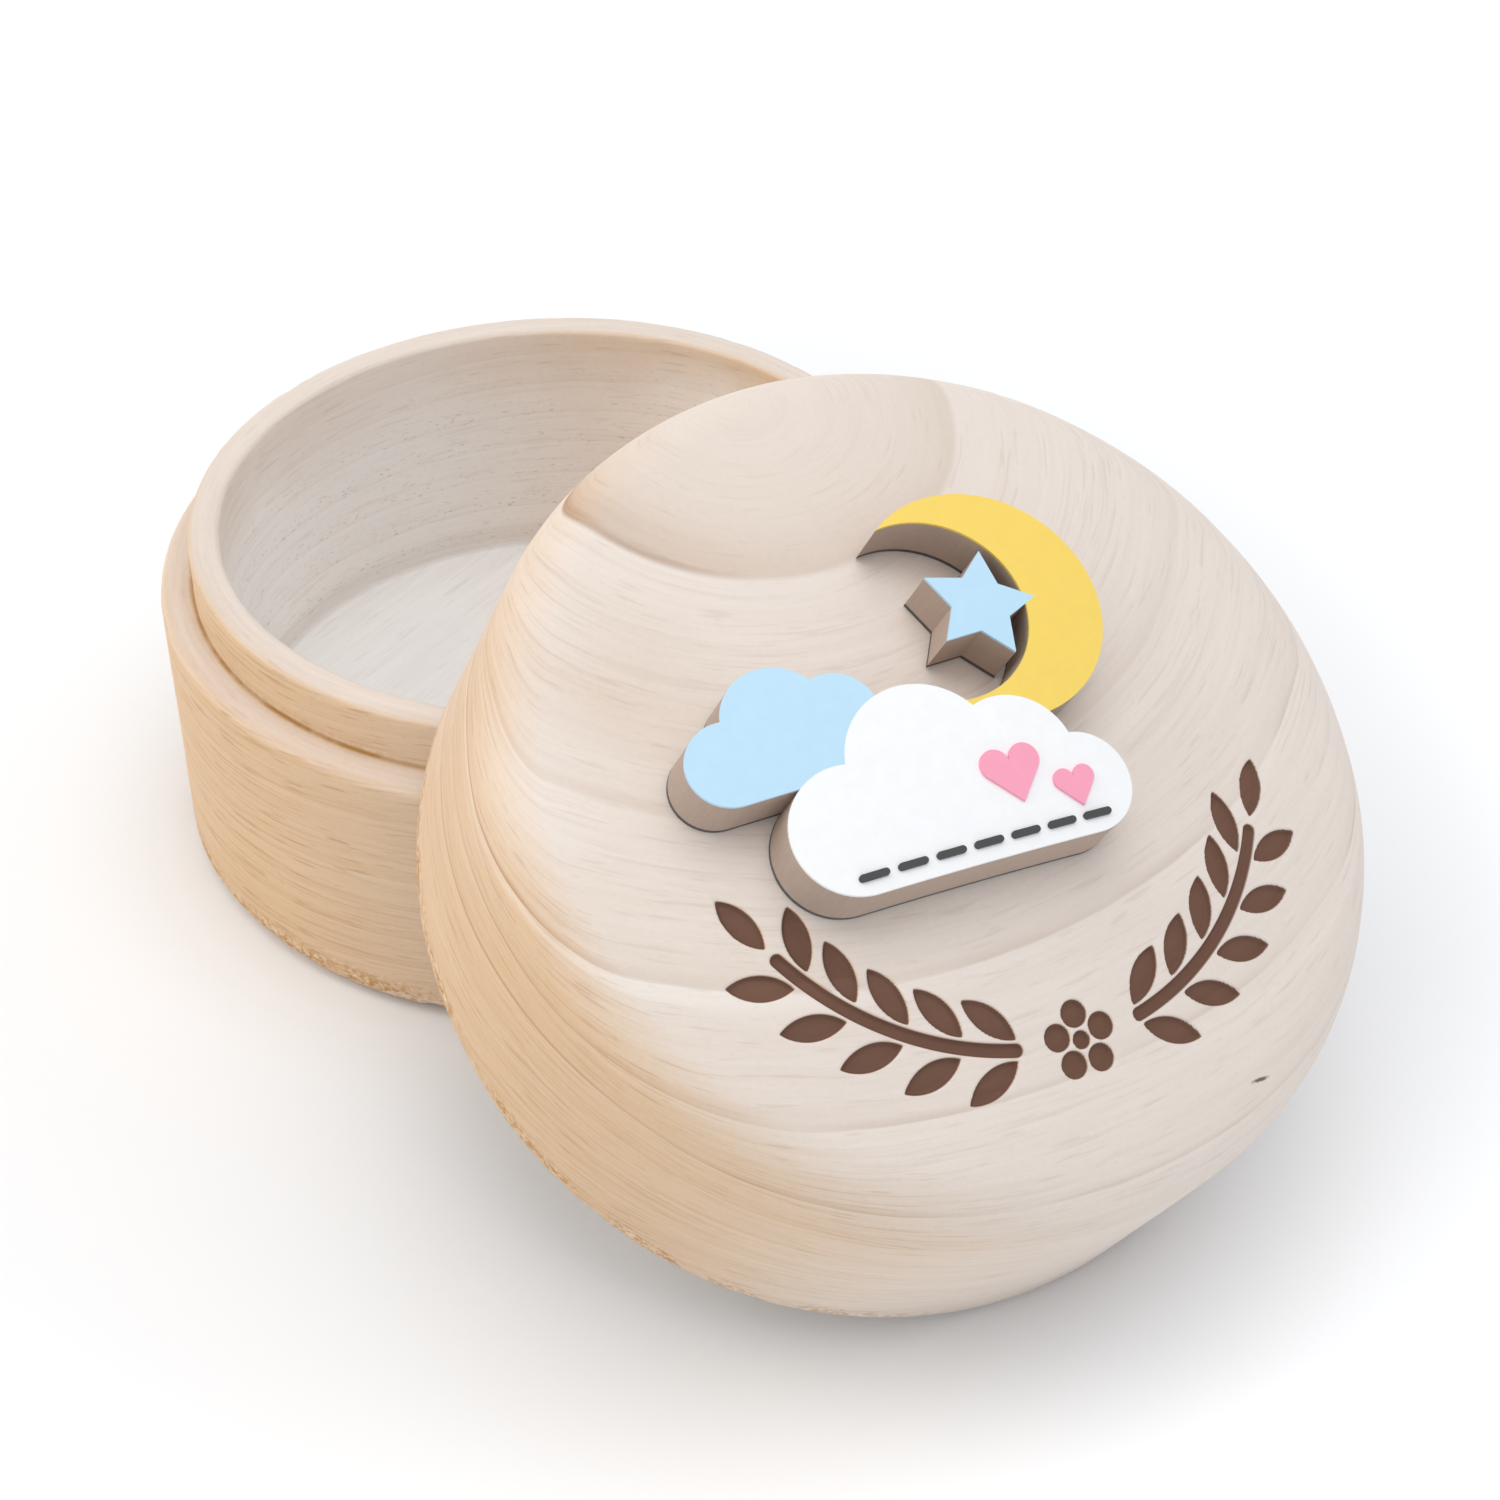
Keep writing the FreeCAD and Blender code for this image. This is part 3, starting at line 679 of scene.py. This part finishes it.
# Small dark drying check near the lid's upper corner
check_place = (26.2, 7.9, 21.5)
check_half_size = (0.16, 1.5, 0.22)
check_slant = math.radians(-26)
check_raggedness = 0.9
check_turn = math.atan2(check_place[1], check_place[0]) + check_slant
check_local = {"Location": check_place, "Rotation": (0, 0, check_turn), "Scale": check_half_size}
check_at = lid_wood.add("Mapping", {"Vector": lid_at, **check_local}, vector_type="TEXTURE")
check_noise = lid_wood.noise(lid_at, 2.5, 3.0, output=1)
check_rough = lid_wood.vector("MULTIPLY_ADD", check_noise, (check_raggedness,) * 3, check_at)
check_from = lid_wood.vector("DISTANCE", check_rough, (check_raggedness / 2,) * 3, output=1)
check = lid_wood.ease(check_from, 1.1, 0.5)
lid_colour = lid_wood.mix(lid_wood.sum("MULTIPLY", check, 0.9), lid_colour, shade(96, 72, 54))

# Char on the floor and the sides of the burnt sprig
char = lid_wood.ease(lid_wood.add("Attribute", {}, 2, attribute_name="burnt"), 0.42, 0.58)
char_colour = lid_wood.mix(lid_tone, shade(120, 85, 68), shade(92, 62, 48))
lid_colour = lid_wood.mix(char, lid_colour, char_colour)
wear_wood(lid_wood, lid_colour, lid_wood.sum("MAXIMUM", lid_marks, check))
lid.data.materials.append(lid_wood.material)
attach(lid, "lid")
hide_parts("lid")


# Plaque adhesive: a thin dark layer of glue that holds the board to the dome.
# It is squeezed out level with the board's edge, where it shows as a dark line.

glue = Finish("plaque_glue")
glue_spot = glue.tree.nodes.new("ShaderNodeTexCoord").outputs["Object"]
glue_cells = glue.noise(glue_spot, 2500, 3.0)
glue.wear(Base_Color=glue.mix(glue_cells, shade(58, 57, 56), shade(98, 96, 94)), Roughness=0.55)
frame["nodes"]["plaque_adhesive"].data.materials[0] = glue.material


# Plaque board: fibreboard cut to the outline of the clouds, moon and star and glued to the dome.
# Its cut edge is left bare, a grey brown with fine marks across it from the cutting.

board = Finish("plaque_board")
board_spot = board.tree.nodes.new("ShaderNodeTexCoord").outputs["Object"]
board_local = {"Vector": board_spot, "Rotation": leaning.to_euler(), "Scale": (MM,) * 3}
board_at = board.add("Mapping", board_local, vector_type="TEXTURE")
cut_marks = board.noise(board.vector("MULTIPLY", board_at, (5.0, 5.0, 0.4)), 1.0, 3.0)
fibres = board.noise(board_at, 6.0, 4.0)
board_tone = board.sum("MULTIPLY_ADD", cut_marks, 0.5, board.sum("MULTIPLY", fibres, 0.5))
board_colour = board.mix(board_tone, shade(164, 144, 130), shade(192, 171, 156))
board_relief = board.add("Bump", {"Strength": 0.3, "Distance": 0.04 * MM, "Height": cut_marks})
board.wear(Base_Color=board_colour, Roughness=0.75, Normal=board_relief)
frame["nodes"]["plaque_board"].data.materials[0] = board.material


# Card facings: thin coloured card, cut to each shape and pasted on the board's face.
# The small hearts and the row of dashes are pasted on the front cloud.
# All have a faint paper grain and no gloss.

card_colours = {
    "front_cloud_facing": (250, 250, 249),
    "back_cloud_facing": (190, 225, 245),
    "star_facing": (190, 225, 245),
    "moon_facing": (249, 214, 98),
    "heart_facings": (252, 163, 187),
    "stitch_facings": (60, 60, 60),
}


def card(name, colour):
    """Matt card of a colour, with the slight cloudiness and tooth of pressed paper."""
    paper = Finish(name)
    spot = paper.tree.nodes.new("ShaderNodeTexCoord").outputs["Object"]
    cloudy = paper.noise(spot, 900, 4.0, 0.6)
    tooth = paper.noise(spot, 9000, 2.0)
    deepening = 0.965
    deep = shade(*[level * deepening for level in colour])
    relief = paper.add("Bump", {"Strength": 0.12, "Distance": 0.02 * MM, "Height": tooth})
    paper.wear(Base_Color=paper.mix(cloudy, deep, shade(*colour)), Roughness=0.6, Normal=relief)
    return paper.material


for node, colour in card_colours.items():
    frame["nodes"][node].data.materials[0] = card(node.replace("facing", "card"), colour)


# Table and studio light: a white table top and soft light from above, with a warmer light on the left.
# The camera looks down at the box from the front left.

floor_half = 3.0
floor_drop = 0.00005
floor_corners = [(-1, -1), (1, -1), (1, 1), (-1, 1)]
floor_points = [(floor_half * x, floor_half * y, -floor_drop) for x, y in floor_corners]
floor_mesh = bpy.data.meshes.new("table_top")
floor_mesh.from_pydata(floor_points, [], [(0, 1, 2, 3)])
floor = bpy.data.objects.new("table_top", floor_mesh)
bpy.context.scene.collection.objects.link(floor)


def in_view(tree):
    """Share of the light that goes to the camera, straight or by way of gloss or glass."""
    rays = tree.nodes.new("ShaderNodeLightPath").outputs
    share = rays["Is Camera Ray"]
    for name in ("Is Glossy Ray", "Is Transmission Ray"):
        most = tree.nodes.new("ShaderNodeMath")
        most.operation = "MAXIMUM"
        tree.links.new(share, most.inputs[0])
        tree.links.new(rays[name], most.inputs[1])
        share = most.outputs[0]
    return share


white = (1, 1, 1, 1)
glow_start = 0.06
glow_full = 0.14
table = Finish("table_top")
table.wear(Base_Color=(0.9, 0.9, 0.9, 1), Roughness=0.9, Specular_IOR_Level=0.1)
table_spot = table.tree.nodes.new("ShaderNodeTexCoord").outputs["Object"]
from_body = table.vector("LENGTH", table_spot, output=1)
glow = table.sum("MULTIPLY", in_view(table.tree), table.ease(from_body, glow_start, glow_full))
table.wear(Emission_Color=white, Emission_Strength=glow)
floor_mesh.materials.append(table.material)

room_light = (0.675, 0.709, 0.75, 1)
world = bpy.data.worlds.new("studio")
world.use_nodes = True
bpy.context.scene.world = world
sky = world.node_tree
sky_colour = sky.nodes.new("ShaderNodeMix")
sky_colour.data_type = "RGBA"
sky_colour.inputs[6].default_value = room_light
sky_colour.inputs[7].default_value = white
sky.links.new(in_view(sky), sky_colour.inputs[0])
sky.links.new(sky_colour.outputs[2], sky.nodes["Background"].inputs["Color"])


def soft_lamp(name, place, aim, size, watts, colour):
    """Square soft lamp at a place, turned to an aim."""
    data = bpy.data.lights.new(name, "AREA")
    data.size = size
    data.energy = watts
    data.color = colour
    lamp = bpy.data.objects.new(name, data)
    lamp.location = place
    lamp.rotation_euler = (Vector(aim) - Vector(place)).to_track_quat("-Z", "Y").to_euler()
    bpy.context.scene.collection.objects.link(lamp)


middle = (cad_box[0] + cad_box[1]) / 2
overhead_place = middle + Vector((0.08, 0.02, 0.60))
left_place = middle + Vector((-0.32, -0.40, 0.36))
soft_lamp("overhead", overhead_place, middle, size=0.5, watts=1.33, colour=(1.0, 0.975, 0.97))
soft_lamp("left", left_place, middle, size=0.4, watts=1.09, colour=(1.0, 0.92, 0.80))

camera_place = Vector((168.53, -97.38, 160.06)) * MM
camera_aim = Vector((26.37, -0.23, 20.0)) * MM
camera_data = bpy.data.cameras.new("camera")
camera_data.sensor_fit = "HORIZONTAL"
camera_data.sensor_width = 36.0
camera_data.lens = 76.35
camera_data.clip_start = 0.01
camera = bpy.data.objects.new("camera", camera_data)
camera.location = camera_place
camera.rotation_euler = (camera_aim - camera_place).to_track_quat("-Z", "Y").to_euler()
bpy.context.scene.collection.objects.link(camera)
bpy.context.scene.camera = camera
bpy.context.scene.view_settings.view_transform = "Standard"
